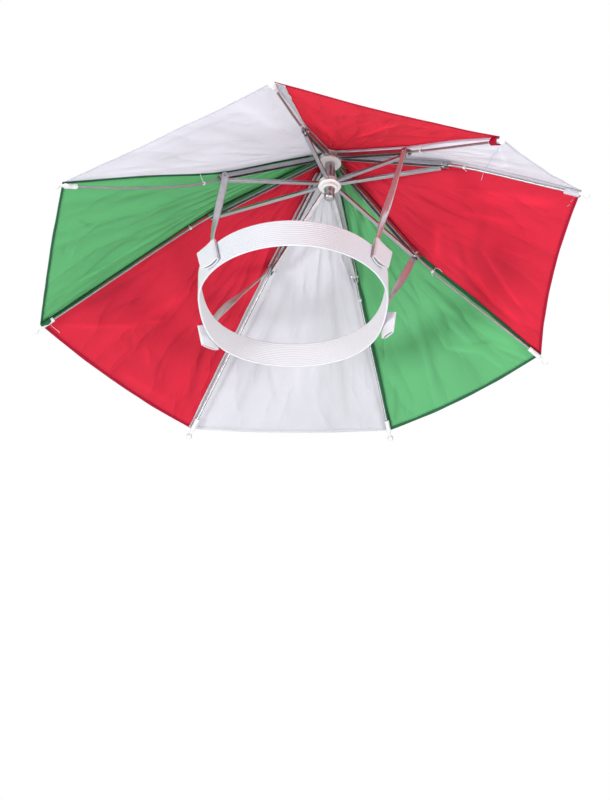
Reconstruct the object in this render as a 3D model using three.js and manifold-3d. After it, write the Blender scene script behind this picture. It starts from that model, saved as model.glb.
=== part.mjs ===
// An umbrella hat: eight cloth panels on folding steel ribs, held over an elastic headband by four legs.
// Millimetres. +Z is up and +Y is the back. The origin is the middle of the headband's ring.
// Ribs and panels count on from the rib at the front, turning from the front to +X and on to the back.
import * as THREE from "three";
import { mergeVertices } from "three/addons/utils/BufferGeometryUtils.js";
import Module from "manifold-3d";

const wasm = await Module();
wasm.setup();

// How pieces sit together
const CLEARANCE = 0.3;
const SEAM_LIFT = 2.6;
const CORNER_LIFT = 0.8;
const PANEL_EDGE_GAP = 0.35;

// The canopy as it stands over the headband: hub place, and turns in degrees
const HUB_X = 29;
const HUB_Y = 75.5;
const HUB_Z = 111;
const CANOPY_LEAN = 36;
const CANOPY_SIDE_LEAN = 1.3;
const FIRST_RIB_TURN = -105;

// Ribs: lengths of the two parts of each rib, and their slopes below the level of the hub in degrees
const INNER_RIB_LENGTH = 103.5;
const OUTER_RIB_LENGTH = 141;
const INNER_DROOP = 31;
const OUTER_DROOP = 31;
const RIB_WIDTH = 4;
const RIB_DEPTH = 3.4;
const RIB_STEEL = 0.6;
const RIB_PAST_PIN = 5;
const WIRE_DIAMETER = 1.8;
const WIRE_START = 25;
const PIN_DIAMETER = 2;
const PIN_HEAD_DIAMETER = 3;
const PIN_HEAD_THICKNESS = 0.8;
const STRETCHER_WIDTH = 3;
const STRETCHER_DEPTH = 2.2;

// Hub, shaft, runner and cap on the canopy's axis
const HUB_DIAMETER = 18;
const HUB_HEIGHT = 6;
const SHAFT_DIAMETER = 8;
const SHAFT_LENGTH = 36;
const RUNNER_DIAMETER = 18;
const RUNNER_HEIGHT = 7;
const RUNNER_DROP = 26;
const CAP_DIAMETER = 22;
const CAP_HEIGHT = 4;
const CAP_STEM_DIAMETER = 6;

// Tips: a sleeve over the end of each wire, with a stem and a ball
const SLEEVE_DIAMETER = 3.8;
const SLEEVE_LENGTH = 10;
const SLEEVE_END = 1.5;
const STEM_DIAMETER = 2;
const STEM_LENGTH = 3;
const BALL_DIAMETER = 5;

// Cloth of the canopy
const CLOTH = 1;
const CROWN_RADIUS = 7;
const SEAM_BOW = 1;
const CLOTH_PAST_TIP = 1;
const PANEL_ROWS = 14;
const PANEL_COLUMNS = 6;

// Headband ring and the tabs sewn on it
const BAND_INNER_WIDTH = 142;
const BAND_INNER_LENGTH = 194;
const BAND_HEIGHT = 20;
const BAND_THICKNESS = 1.6;
const BAND_LEAN = 22;
const NAPE_DROP = 12;
// How much wider the back half grows than an ellipse, as a share of the width
const BACK_FULLNESS = 0.35;
const BAND_STEPS = 60;
const TAB_WIDTH = 19;
const TAB_HEIGHT = 20;
const TAB_TILT = 19;
const TAB_WALL = 1;
const TAB_CORNER = 1.5;

// Legs: flat strips from the rib joints to the tabs
const LEG_WIDTH = 5.4;
const LEG_THICKNESS = 0.8;
const LEG_SEATED = 12;
const LEG_STEPS = 12;
// How far each end of a leg keeps its first direction, as shares of the leg's span
const LEG_TOP_HOLD = 0.3;
const LEG_FOOT_HOLD = 0.22;

// Faces of round and curved pieces
const ROUND_SIDES = 10;
const BALL_RINGS = 4;
const PIN_SIDES = 8;
const AXIS_SIDES = 16;
const WIRE_HALF_SIDES = 4;
const WIRE_STEPS = 12;

// How each rib stands off the regular set, in degrees: turn goes round the hub, swing turns the wire sideways
// at the joint, and inner and outer are added to the two slopes. Reach is the distance from joint to tip and
// sag is how far the wire's middle hangs below its line, both as shares of OUTER_RIB_LENGTH
const RIBS = [
  { turn: 2, swing: 2, inner: 0.5, outer: -1, reach: 0.96, sag: 0 },
  { turn: 10.5, swing: -13, inner: 1, outer: 5, reach: 1.07, sag: 0 },
  { turn: -9, swing: 7, inner: -7.5, outer: -3.5, reach: 0.82, sag: 0 },
  { turn: 0.5, swing: -3.5, inner: 8, outer: -3, reach: 0.91, sag: 0 },
  { turn: 0, swing: -0.5, inner: -0.5, outer: -1, reach: 1, sag: 0 },
  { turn: 1, swing: 0.5, inner: 2, outer: 5, reach: 1.06, sag: 0 },
  { turn: 2, swing: -3.5, inner: -5, outer: 1, reach: 1.15, sag: 0 },
  { turn: -8, swing: 9.5, inner: 0.5, outer: -1.5, reach: 1.06, sag: 0.035 },
];

// Panels in order, each from its own rib to the next. Slack is the depth of the hollow between the two ribs
// at the rim, and bulge is how far the rim stands out past the line between its corners, both as shares of
// the distance between them there
const PANELS = [
  { colour: "red", slack: 0.02, bulge: 0.01 },
  { colour: "white", slack: 0.03, bulge: 0 },
  { colour: "red", slack: 0.02, bulge: -0.04 },
  { colour: "green", slack: 0.02, bulge: 0.01 },
  { colour: "white", slack: 0.02, bulge: 0 },
  { colour: "red", slack: 0.02, bulge: 0.01 },
  { colour: "green", slack: 0.02, bulge: 0.01 },
  { colour: "white", slack: 0.02, bulge: 0.02 },
];

// Tabs on the headband: the rib whose leg each one holds, its place round the ring in degrees from +X, and
// how far its middle stands above the band's, as a share of BAND_HEIGHT. A tab's pocket lies by the side
// that faces on round the ring where hand is 1, and by its other side where hand is -1
const TABS = [
  { name: "front_right", rib: 1, around: -31, raise: 0.25, hand: -1 },
  { name: "back_right", rib: 3, around: 24, raise: -0.45, hand: 1 },
  { name: "back_left", rib: 5, around: 140, raise: -0.3, hand: -1 },
  { name: "front_left", rib: 7, around: 216, raise: 0, hand: 1 },
];

const FINISHES = {
  red: { color: 0xd32d41, roughness: 0.75, metalness: 0 },
  green: { color: 0x4fae72, roughness: 0.75, metalness: 0 },
  white: { color: 0xe6e6ec, roughness: 0.75, metalness: 0 },
  steel: { color: 0xb4b6ba, roughness: 0.3, metalness: 1 },
  plastic: { color: 0xf2f2f0, roughness: 0.45, metalness: 0 },
  elastic: { color: 0xeeeeee, roughness: 0.85, metalness: 0 },
};

const radians = THREE.MathUtils.degToRad;
const UP = new THREE.Vector3(0, 0, 1);

/** A mesh with its own material, named as its piece. */
function piece(name, geometry, finish) {
  const mesh = new THREE.Mesh(geometry, new THREE.MeshStandardMaterial(FINISHES[finish]));
  mesh.name = name;
  return mesh;
}

/** The point that lies the given distances from a start along some directions. */
function offset(start, ...steps) {
  const point = start.clone();
  for (const [direction, distance] of steps) {
    point.addScaledVector(direction, distance);
  }
  return point;
}

/** Turns and moves a mesh so that its own +Z runs along a direction, with its +Y towards a normal. */
function place(mesh, origin, direction, normal) {
  const side = new THREE.Vector3().crossVectors(normal, direction).normalize();
  const upright = new THREE.Vector3().crossVectors(direction, side);
  mesh.quaternion.setFromRotationMatrix(new THREE.Matrix4().makeBasis(side, upright, direction));
  mesh.position.copy(origin);
  return mesh;
}

/** A solid for joining and cutting, from a closed geometry. */
function toSolid(geometry) {
  const bare = geometry.clone();
  bare.deleteAttribute("normal");
  bare.deleteAttribute("uv");
  const merged = mergeVertices(bare);
  return new wasm.Manifold(new wasm.Mesh({
    numProp: 3,
    vertProperties: new Float32Array(merged.attributes.position.array),
    triVerts: new Uint32Array(merged.index.array),
  }));
}

/** The geometry of a joined or cut solid. */
function toGeometry(solid) {
  const mesh = solid.getMesh();
  const geometry = new THREE.BufferGeometry();
  geometry.setAttribute("position", new THREE.BufferAttribute(mesh.vertProperties, 3));
  geometry.setIndex(new THREE.BufferAttribute(mesh.triVerts, 1));
  geometry.computeVertexNormals();
  return geometry;
}

/** Closes a sheet from the grids of points on its two faces; a ring's last row meets its first. */
function sheetGeometry(upper, lower, isRing) {
  const rows = upper.length;
  const columns = upper[0].length;
  const triangles = [];
  const at = (face, row, column) => (face * rows + (row % rows)) * columns + column;
  const quad = (a, b, c, d) => triangles.push(a, b, c, a, c, d);
  for (let row = 0; row < (isRing ? rows : rows - 1); row += 1) {
    for (let column = 0; column < columns - 1; column += 1) {
      quad(at(0, row, column), at(0, row + 1, column), at(0, row + 1, column + 1), at(0, row, column + 1));
      quad(at(1, row, column), at(1, row, column + 1), at(1, row + 1, column + 1), at(1, row + 1, column));
    }
    quad(at(0, row, 0), at(1, row, 0), at(1, row + 1, 0), at(0, row + 1, 0));
    const last = columns - 1;
    quad(at(0, row, last), at(0, row + 1, last), at(1, row + 1, last), at(1, row, last));
  }
  for (let column = 0; column < (isRing ? 0 : columns - 1); column += 1) {
    const last = rows - 1;
    quad(at(0, 0, column), at(0, 0, column + 1), at(1, 0, column + 1), at(1, 0, column));
    quad(at(0, last, column), at(1, last, column), at(1, last, column + 1), at(0, last, column + 1));
  }
  const geometry = new THREE.BufferGeometry().setFromPoints([...upper.flat(), ...lower.flat()]);
  geometry.setIndex(triangles);
  geometry.computeVertexNormals();
  return geometry;
}

/** A bent steel channel along +Z from 0, with its back towards +Y, or towards -Y where it opens upwards. */
function channelGeometry(width, depth, length, opensUp) {
  const half = width / 2;
  const back = opensUp ? -depth / 2 : depth / 2;
  const web = back - Math.sign(back) * RIB_STEEL;
  const shape = new THREE.Shape([
    new THREE.Vector2(-half, -back),
    new THREE.Vector2(-half, back),
    new THREE.Vector2(half, back),
    new THREE.Vector2(half, -back),
    new THREE.Vector2(half - RIB_STEEL, -back),
    new THREE.Vector2(half - RIB_STEEL, web),
    new THREE.Vector2(-half + RIB_STEEL, web),
    new THREE.Vector2(-half + RIB_STEEL, -back),
  ]);
  return new THREE.ExtrudeGeometry(shape, { depth: length, bevelEnabled: false });
}

/** A closed round solid from a profile of [radius, height] pairs, turned about +Y. */
function turned(profile, sides) {
  return new THREE.LatheGeometry(profile.map(([radius, height]) => new THREE.Vector2(radius, height)), sides);
}

/** The direction at a turn about the canopy's axis and a slope below its level, both in degrees. */
function heading(turn, slope) {
  const level = Math.cos(radians(slope));
  return new THREE.Vector3(
    level * Math.cos(radians(turn)),
    level * Math.sin(radians(turn)),
    -Math.sin(radians(slope)),
  );
}

/** The places and directions of one rib in the canopy's own frame, where the hub is the origin. */
function ribPlaces(rib, index) {
  const turn = FIRST_RIB_TURN + (index * 360) / RIBS.length + rib.turn;
  const outward = heading(turn, 0);
  const side = heading(turn + 90, 0);
  const innerDirection = heading(turn, INNER_DROOP + rib.inner);
  const outerDirection = heading(turn + rib.swing, OUTER_DROOP + rib.outer);
  const innerNormal = new THREE.Vector3().crossVectors(innerDirection, side);
  const joint = offset(new THREE.Vector3(), [innerDirection, INNER_RIB_LENGTH]);
  const tip = offset(joint, [outerDirection, OUTER_RIB_LENGTH * rib.reach]);
  const wireDrop = (RIB_DEPTH - RIB_STEEL - WIRE_DIAMETER) / 2 - RIB_STEEL / 2 - CLEARANCE;
  const wireStart = offset(joint, [innerDirection, PIN_DIAMETER / 2 + CLEARANCE], [innerNormal, Math.min(wireDrop, 0)]);
  const outerSide = heading(turn + rib.swing + 90, 0);
  const outerNormal = new THREE.Vector3().crossVectors(outerDirection, outerSide);
  // A cubic's middle moves by three quarters of what moves both its handles
  const sagging = -(rib.sag * OUTER_RIB_LENGTH) / 0.75;
  const wire = new THREE.CubicBezierCurve3(
    wireStart,
    offset(wireStart, [innerDirection, WIRE_START], [outerNormal, sagging]),
    offset(tip.clone().lerp(joint, 0.4), [outerNormal, sagging]),
    tip,
  );
  const tipDirection = wire.getTangent(1);
  const tipNormal = new THREE.Vector3().crossVectors(tipDirection, outerSide);
  return { outward, side, innerDirection, outerDirection, innerNormal, joint, tip, wire, tipDirection, tipNormal };
}

const ribs = RIBS.map(ribPlaces);

/** The seam over one rib, from the crown to just past the tip, above the steel. */
function seamCurve(rib) {
  const jointRise = RIB_DEPTH / 2 + CLEARANCE + CLOTH / 2 + SEAM_LIFT;
  const tipRise = SLEEVE_DIAMETER / 2 + CLEARANCE + CLOTH / 2 + CORNER_LIFT;
  const droop = radians(INNER_DROOP);
  const crownHeight = jointRise / Math.cos(droop) - CROWN_RADIUS * Math.tan(droop);
  const crown = offset(new THREE.Vector3(), [rib.outward, CROWN_RADIUS], [UP, crownHeight]);
  const overRib = (distance) => offset(new THREE.Vector3(), [rib.innerDirection, distance], [rib.innerNormal, jointRise]);
  const end = offset(rib.tip, [rib.tipDirection, CLOTH_PAST_TIP], [rib.tipNormal, tipRise]);
  const overJoint = overRib(INNER_RIB_LENGTH);
  const middle = offset(overJoint.clone().lerp(end, 0.5), [rib.tipNormal, SEAM_BOW]);
  return new THREE.CatmullRomCurve3([crown, overRib(INNER_RIB_LENGTH / 2), overJoint, middle, end]);
}

const seams = ribs.map(seamCurve);

/** One panel of cloth between two seams, hollow between them, its rim standing out past its corners. */
function panelGeometry(index) {
  const first = seams[index];
  const second = seams[(index + 1) % seams.length];
  const { slack, bulge } = PANELS[index];
  const middle = [];
  for (let row = 0; row <= PANEL_ROWS; row += 1) {
    const along = row / PANEL_ROWS;
    const line = [];
    for (let column = 0; column <= PANEL_COLUMNS; column += 1) {
      const across = column / PANEL_COLUMNS;
      const arch = 4 * across * (1 - across);
      const from = first.getPointAt(along);
      const to = second.getPointAt(along);
      const width = from.distanceTo(to);
      const inset = PANEL_EDGE_GAP / width;
      const outward = first.getTangentAt(along).add(second.getTangentAt(along)).normalize();
      const point = from.clone().lerp(to, inset + across * (1 - 2 * inset));
      line.push(offset(point, [UP, -slack * width * arch * along], [outward, bulge * width * arch * along ** 3]));
    }
    middle.push(line);
  }
  const upper = middle.map((line) => []);
  const lower = middle.map((line) => []);
  for (let row = 0; row <= PANEL_ROWS; row += 1) {
    for (let column = 0; column <= PANEL_COLUMNS; column += 1) {
      const alongStep = middle[Math.min(row + 1, PANEL_ROWS)][column].clone().sub(middle[Math.max(row - 1, 0)][column]);
      const acrossStep = middle[row][Math.min(column + 1, PANEL_COLUMNS)].clone()
        .sub(middle[row][Math.max(column - 1, 0)]);
      const normal = alongStep.cross(acrossStep).normalize();
      upper[row].push(offset(middle[row][column], [normal, CLOTH / 2]));
      lower[row].push(offset(middle[row][column], [normal, -CLOTH / 2]));
    }
  }
  return sheetGeometry(upper, lower, false);
}

/** The steel channel from the hub to the joint, with the pin through its outer end. */
function innerRib(rib, index) {
  const hubSide = HUB_DIAMETER / 2 + CLEARANCE;
  const tilt = -rib.innerDirection.z;
  const start = (hubSide + (RIB_DEPTH / 2) * tilt) / rib.innerDirection.dot(rib.outward);
  const length = INNER_RIB_LENGTH - start + RIB_PAST_PIN;
  const channel = toSolid(channelGeometry(RIB_WIDTH, RIB_DEPTH, length, false));
  const holdsLeg = TABS.some((tab) => tab.rib === index);
  const grip = RIB_WIDTH / 2 + (holdsLeg ? 2 * CLEARANCE + LEG_THICKNESS : 0);
  const end = grip + PIN_HEAD_THICKNESS;
  const pin = turned([
    [0, -end],
    [PIN_HEAD_DIAMETER / 2, -end],
    [PIN_HEAD_DIAMETER / 2, -grip],
    [PIN_DIAMETER / 2, -grip],
    [PIN_DIAMETER / 2, grip],
    [PIN_HEAD_DIAMETER / 2, grip],
    [PIN_HEAD_DIAMETER / 2, end],
    [0, end],
  ], PIN_SIDES);
  pin.rotateZ(Math.PI / 2);
  pin.translate(0, 0, length - RIB_PAST_PIN);
  const mesh = piece(`inner_rib_${index + 1}`, toGeometry(channel.add(toSolid(pin))), "steel");
  const origin = offset(new THREE.Vector3(), [rib.innerDirection, start]);
  return place(mesh, origin, rib.innerDirection, rib.innerNormal);
}

/** The strut from the runner to the underside of the joint. */
function stretcher(rib, index) {
  const runnerSide = RUNNER_DIAMETER / 2 + CLEARANCE;
  const end = offset(rib.joint, [rib.innerNormal, -(RIB_DEPTH + STRETCHER_DEPTH) / 2 - 1.5 * CLEARANCE]);
  const level = new THREE.Vector3(0, 0, -runnerCentre());
  const aim = offset(level, [rib.outward, runnerSide]);
  const direction = end.clone().sub(aim).normalize();
  const start = offset(aim, [direction, (STRETCHER_DEPTH / 2) * Math.abs(direction.z)]);
  const normal = new THREE.Vector3().crossVectors(direction, rib.side);
  const geometry = channelGeometry(STRETCHER_WIDTH, STRETCHER_DEPTH, start.distanceTo(end), true);
  return place(piece(`stretcher_${index + 1}`, geometry, "steel"), start, direction, normal);
}

/** The outer part of a rib: a round wire that the joint holds at one end and the tip's sleeve at the other. */
function outerWire(rib, index) {
  const shape = new THREE.Shape();
  shape.absarc(0, 0, WIRE_DIAMETER / 2, 0, 2 * Math.PI);
  const geometry = new THREE.ExtrudeGeometry(shape, {
    extrudePath: rib.wire,
    steps: WIRE_STEPS,
    curveSegments: WIRE_HALF_SIDES,
    bevelEnabled: false,
  });
  return piece(`outer_wire_${index + 1}`, geometry, "steel");
}

/** The plastic sleeve over a wire's end, with its stem and ball. */
function ribTip(rib, index) {
  const bore = WIRE_DIAMETER / 2 + CLEARANCE;
  const sleeve = SLEEVE_DIAMETER / 2;
  const stem = STEM_DIAMETER / 2;
  const closed = CLEARANCE + SLEEVE_END;
  const ball = BALL_DIAMETER / 2;
  const ballCentre = closed + STEM_LENGTH + Math.sqrt(ball ** 2 - stem ** 2);
  const profile = [
    [0, CLEARANCE],
    [bore, CLEARANCE],
    [bore, CLEARANCE - SLEEVE_LENGTH],
    [sleeve, CLEARANCE - SLEEVE_LENGTH],
    [sleeve, closed - sleeve / 2],
    [stem, closed],
  ];
  const firstAngle = Math.asin(stem / ball);
  for (let ring = 0; ring <= BALL_RINGS; ring += 1) {
    const angle = (Math.PI - firstAngle) * (1 - ring / BALL_RINGS);
    profile.push([ring === BALL_RINGS ? 0 : ball * Math.sin(angle), ballCentre + ball * Math.cos(angle)]);
  }
  const mesh = piece(`tip_${index + 1}`, turned(profile, ROUND_SIDES), "plastic");
  mesh.quaternion.setFromUnitVectors(new THREE.Vector3(0, 1, 0), rib.tipDirection);
  mesh.position.copy(rib.tip);
  return mesh;
}

/** The hub's middle lies on the level where the ribs reach its side. */
function hubCentre() {
  return (HUB_DIAMETER / 2 + CLEARANCE) * Math.tan(radians(INNER_DROOP));
}

function runnerCentre() {
  return hubCentre() + RUNNER_DROP;
}

/** The pieces on the canopy's axis, made about +Y and stood up along +Z. */
function axisPieces() {
  const hubTop = -hubCentre() + HUB_HEIGHT / 2;
  const shaftTop = hubTop - HUB_HEIGHT - CLEARANCE;
  const shaft = SHAFT_DIAMETER / 2;
  const runnerBore = shaft + CLEARANCE;
  const runnerTop = -runnerCentre() + RUNNER_HEIGHT / 2;
  const crownTop = Math.max(...seams.map((seam) => seam.getPoint(0).z)) + CLOTH;
  const capRim = crownTop + CLEARANCE;
  const stem = CAP_STEM_DIAMETER / 2;
  const solids = {
    hub: [[0, hubTop - HUB_HEIGHT], [HUB_DIAMETER / 2, hubTop - HUB_HEIGHT], [HUB_DIAMETER / 2, hubTop], [0, hubTop]],
    shaft: [[0, shaftTop - SHAFT_LENGTH], [shaft, shaftTop - SHAFT_LENGTH], [shaft, shaftTop], [0, shaftTop]],
    runner: [
      [runnerBore, runnerTop - RUNNER_HEIGHT],
      [RUNNER_DIAMETER / 2, runnerTop - RUNNER_HEIGHT],
      [RUNNER_DIAMETER / 2, runnerTop],
      [runnerBore, runnerTop],
      [runnerBore, runnerTop - RUNNER_HEIGHT],
    ],
    top_cap: [
      [0, hubTop + CLEARANCE],
      [stem, hubTop + CLEARANCE],
      [stem, capRim],
      [CAP_DIAMETER / 2, capRim],
      [CAP_DIAMETER / 2, capRim + CAP_HEIGHT / 4],
      [CAP_DIAMETER / 3, capRim + (CAP_HEIGHT * 3) / 4],
      [0, capRim + CAP_HEIGHT],
    ],
  };
  const finishes = { hub: "plastic", shaft: "steel", runner: "plastic", top_cap: "plastic" };
  return Object.entries(solids).map(([name, profile]) => {
    const mesh = piece(name, turned(profile, AXIS_SIDES), finishes[name]);
    mesh.rotation.x = Math.PI / 2;
    return mesh;
  });
}

/** A point on the ring's inner face, in the headband's own frame, and the outward direction there. */
function bandPlace(around) {
  const wide = BAND_INNER_WIDTH / 2;
  const long = BAND_INNER_LENGTH / 2;
  const back = Math.max(Math.sin(around), 0);
  const fullness = 1 + BACK_FULLNESS * back ** 2;
  const growth = 2 * BACK_FULLNESS * back * Math.cos(around);
  const across = wide * (growth * Math.cos(around) - fullness * Math.sin(around));
  return {
    point: new THREE.Vector3(wide * fullness * Math.cos(around), long * Math.sin(around), -NAPE_DROP * back ** 2),
    outward: new THREE.Vector3(long * Math.cos(around), -across, 0).normalize(),
  };
}

/** The elastic ring. */
function headbandGeometry() {
  const outer = [];
  const inner = [];
  for (let step = 0; step < BAND_STEPS; step += 1) {
    const { point, outward } = bandPlace((2 * Math.PI * step) / BAND_STEPS);
    const low = offset(point, [UP, -BAND_HEIGHT / 2]);
    const high = offset(point, [UP, BAND_HEIGHT / 2]);
    inner.push([low, high]);
    outer.push([offset(low, [outward, BAND_THICKNESS]), offset(high, [outward, BAND_THICKNESS])]);
  }
  return sheetGeometry(outer, inner, true);
}

/** A flat plate with round corners, in the plane of X and Y, its thickness along +Z from 0. */
function roundedPlate(width, height, corner, thickness) {
  const x = width / 2 - corner;
  const y = height / 2 - corner;
  const shape = new THREE.Shape();
  shape.absarc(x, y, corner, 0, Math.PI / 2);
  shape.absarc(-x, y, corner, Math.PI / 2, Math.PI);
  shape.absarc(-x, -y, corner, Math.PI, 1.5 * Math.PI);
  shape.absarc(x, -y, corner, 1.5 * Math.PI, 2 * Math.PI);
  return new THREE.ExtrudeGeometry(shape, { depth: thickness, curveSegments: 3, bevelEnabled: false });
}

/** Where one tab sits: its middle on the band's outer face, its own directions, and the leg's way in. */
function tabPlaces(tab, headband, canopy) {
  const rib = ribs[tab.rib];
  const joint = canopy.localToWorld(rib.joint.clone());
  const side = rib.side.clone().transformDirection(canopy.matrixWorld);
  const { point, outward } = bandPlace(radians(tab.around));
  const seat = offset(point, [outward, BAND_THICKNESS + CLEARANCE], [UP, tab.raise * BAND_HEIGHT]);
  const bandUp = UP.clone().transformDirection(headband.matrixWorld);
  const normal = outward.clone().transformDirection(headband.matrixWorld);
  const middle = headband.localToWorld(seat.clone());
  const upright = bandUp.applyAxisAngle(normal, tab.hand * radians(TAB_TILT));
  const across = new THREE.Vector3().crossVectors(upright, normal);
  const pocketShift = tab.hand * (TAB_WIDTH / 2 - TAB_WALL - CLEARANCE - LEG_WIDTH / 2);
  if (side.dot(middle.clone().sub(joint)) < 0) {
    side.negate();
  }
  return { joint, side, normal, middle, upright, across, pocketShift, down: upright.clone().negate() };
}

/** A folded patch of cloth with a pocket, open at its top, for the end of a leg. */
function tabMesh(tab, at) {
  const thickness = LEG_THICKNESS + 2 * CLEARANCE + 2 * TAB_WALL;
  const plate = toSolid(roundedPlate(TAB_WIDTH, TAB_HEIGHT, TAB_CORNER, thickness));
  const pocket = new THREE.BoxGeometry(
    LEG_WIDTH + 2 * CLEARANCE,
    2 * (LEG_SEATED + CLEARANCE),
    LEG_THICKNESS + 2 * CLEARANCE,
  );
  pocket.translate(at.pocketShift, TAB_HEIGHT / 2, thickness / 2);
  const mesh = piece(`tab_${tab.name}`, toGeometry(plate.subtract(toSolid(pocket))), "elastic");
  return place(mesh, at.middle, at.normal, at.upright);
}

/** A flat steel strip from the pin of a joint down into its tab, turning as it goes. */
function legMesh(tab, at) {
  const pocketDepth = (LEG_THICKNESS + 2 * CLEARANCE + 2 * TAB_WALL) / 2;
  const mouth = offset(
    at.middle,
    [at.normal, pocketDepth],
    [at.upright, TAB_HEIGHT / 2],
    [at.across, at.pocketShift],
  );
  const top = offset(at.joint, [at.side, RIB_WIDTH / 2 + CLEARANCE + LEG_THICKNESS / 2]);
  const span = top.distanceTo(mouth);
  const fall = offset(mouth.clone().sub(top), [UP, -span]);
  fall.addScaledVector(at.side, -fall.dot(at.side)).normalize();
  const path = new THREE.CubicBezierCurve3(
    top,
    offset(top, [fall, LEG_TOP_HOLD * span]),
    offset(mouth, [at.upright, LEG_FOOT_HOLD * span]),
    mouth,
  );
  const stations = [{ point: offset(top, [fall, -LEG_WIDTH / 2 + CLEARANCE / 2]), along: fall, share: 0 }];
  for (let step = 0; step <= LEG_STEPS; step += 1) {
    const share = step / LEG_STEPS;
    stations.push({ point: path.getPoint(share), along: path.getTangent(share), share });
  }
  stations.push({ point: offset(mouth, [at.down, LEG_SEATED]), along: at.down, share: 1 });
  const facing = at.side.dot(at.normal) < 0 ? at.side.clone().negate() : at.side;
  const grids = [[], []];
  for (const station of stations) {
    const turn = THREE.MathUtils.smoothstep(station.share, 0.1, 1);
    const face = facing.clone().lerp(at.normal, turn);
    face.addScaledVector(station.along, -face.dot(station.along)).normalize();
    const across = new THREE.Vector3().crossVectors(face, station.along);
    grids.forEach((grid, index) => {
      const depth = index === 0 ? LEG_THICKNESS / 2 : -LEG_THICKNESS / 2;
      grid.push([-LEG_WIDTH / 2, LEG_WIDTH / 2].map((width) => offset(station.point, [face, depth], [across, width])));
    });
  }
  const strip = toSolid(sheetGeometry(grids[0], grids[1], false));
  const hole = new THREE.CylinderGeometry(
    PIN_DIAMETER / 2 + CLEARANCE,
    PIN_DIAMETER / 2 + CLEARANCE,
    4 * LEG_THICKNESS,
    PIN_SIDES,
  );
  hole.applyQuaternion(new THREE.Quaternion().setFromUnitVectors(new THREE.Vector3(0, 1, 0), at.side));
  hole.translate(top.x, top.y, top.z);
  return piece(`leg_${tab.name}`, toGeometry(strip.subtract(toSolid(hole))), "steel");
}

const group = new THREE.Group();

const canopy = new THREE.Group();
canopy.position.set(HUB_X, HUB_Y, HUB_Z);
canopy.rotation.set(-radians(CANOPY_LEAN), radians(CANOPY_SIDE_LEAN), 0, "YXZ");
ribs.forEach((rib, index) => {
  canopy.add(innerRib(rib, index), stretcher(rib, index), outerWire(rib, index), ribTip(rib, index));
  canopy.add(piece(`panel_${index + 1}_${PANELS[index].colour}`, panelGeometry(index), PANELS[index].colour));
});
canopy.add(...axisPieces());

const headband = new THREE.Group();
headband.rotation.x = -radians(BAND_LEAN);
headband.add(piece("headband", headbandGeometry(), "elastic"));

group.add(canopy, headband);
group.updateMatrixWorld(true);
for (const tab of TABS) {
  const at = tabPlaces(tab, headband, canopy);
  group.add(tabMesh(tab, at), legMesh(tab, at));
}

export default group;
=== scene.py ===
"""An umbrella hat: its cloth, hems, stitches, steel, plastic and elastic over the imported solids.

Metres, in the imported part's frame: +Z is up, +Y is the back, and the origin is the middle of the
headband's ring. Angles are in degrees.
"""
from collections import namedtuple
from math import asin, atan2, cos, exp, hypot, inf, pi, radians, sin, tan

import bmesh
import bpy
from mathutils import Matrix, Vector, noise
from mathutils.geometry import interpolate_bezier


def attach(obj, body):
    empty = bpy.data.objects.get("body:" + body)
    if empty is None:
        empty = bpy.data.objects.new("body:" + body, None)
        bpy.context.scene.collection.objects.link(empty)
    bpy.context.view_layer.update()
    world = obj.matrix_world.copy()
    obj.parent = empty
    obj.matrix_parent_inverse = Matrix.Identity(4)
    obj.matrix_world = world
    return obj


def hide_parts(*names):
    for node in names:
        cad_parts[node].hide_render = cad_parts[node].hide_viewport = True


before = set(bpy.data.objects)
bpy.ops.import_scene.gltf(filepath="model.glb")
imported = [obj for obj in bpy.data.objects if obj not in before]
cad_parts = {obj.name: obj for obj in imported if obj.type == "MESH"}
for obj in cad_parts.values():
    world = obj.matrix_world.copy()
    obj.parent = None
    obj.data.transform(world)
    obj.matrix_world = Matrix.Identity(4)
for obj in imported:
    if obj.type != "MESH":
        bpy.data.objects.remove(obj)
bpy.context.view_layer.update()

MM = 0.001
UP = Vector((0, 0, 1))

# The solids' own sizes, so that the dressed pieces lie where the solids do
CLEARANCE = 0.3 * MM
HUB_PLACE = Vector((29, 75.5, 111)) * MM
CANOPY_LEAN = 36
CANOPY_SIDE_LEAN = 1.3
FIRST_RIB_TURN = -105
INNER_RIB_LENGTH = 103.5 * MM
OUTER_RIB_LENGTH = 141 * MM
INNER_DROOP = 31
OUTER_DROOP = 31
RIB_WIDTH = 4 * MM
RIB_DEPTH = 3.4 * MM
RIB_STEEL = 0.6 * MM
WIRE_DIAMETER = 1.8 * MM
WIRE_START = 25 * MM
PIN_DIAMETER = 2 * MM
BAND_WIDTH = 142 * MM
BAND_LENGTH = 194 * MM
BAND_HEIGHT = 20 * MM
BAND_THICKNESS = 1.6 * MM
BAND_LEAN = 22
NAPE_DROP = 12 * MM
BACK_FULLNESS = 0.35
TAB_WIDTH = 19 * MM
TAB_HEIGHT = 20 * MM
TAB_TILT = 19
TAB_WALL = 1 * MM
LEG_WIDTH = 5.4 * MM
LEG_THICKNESS = 0.8 * MM
CROWN_RADIUS = 7 * MM

# A rib's turn, its outer half's swing, what is added to both halves' slopes, the outer half's reach
# against the usual length, and its wire's sag
RibRow = namedtuple("RibRow", "turn swing inner outer reach sag")
RIBS = [
    RibRow(2, 2, 0.5, -1, 0.96, 0),
    RibRow(10.5, -13, 1, 5, 1.07, 0),
    RibRow(-9, 7, -7.5, -3.5, 0.82, 0),
    RibRow(0.5, -3.5, 8, -3, 0.91, 0),
    RibRow(0, -0.5, -0.5, -1, 1, 0),
    RibRow(1, 0.5, 2, 5, 1.06, 0),
    RibRow(2, -3.5, -5, 1, 1.15, 0),
    RibRow(-8, 9.5, 0.5, -1.5, 1.06, 0.035),
]

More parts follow.
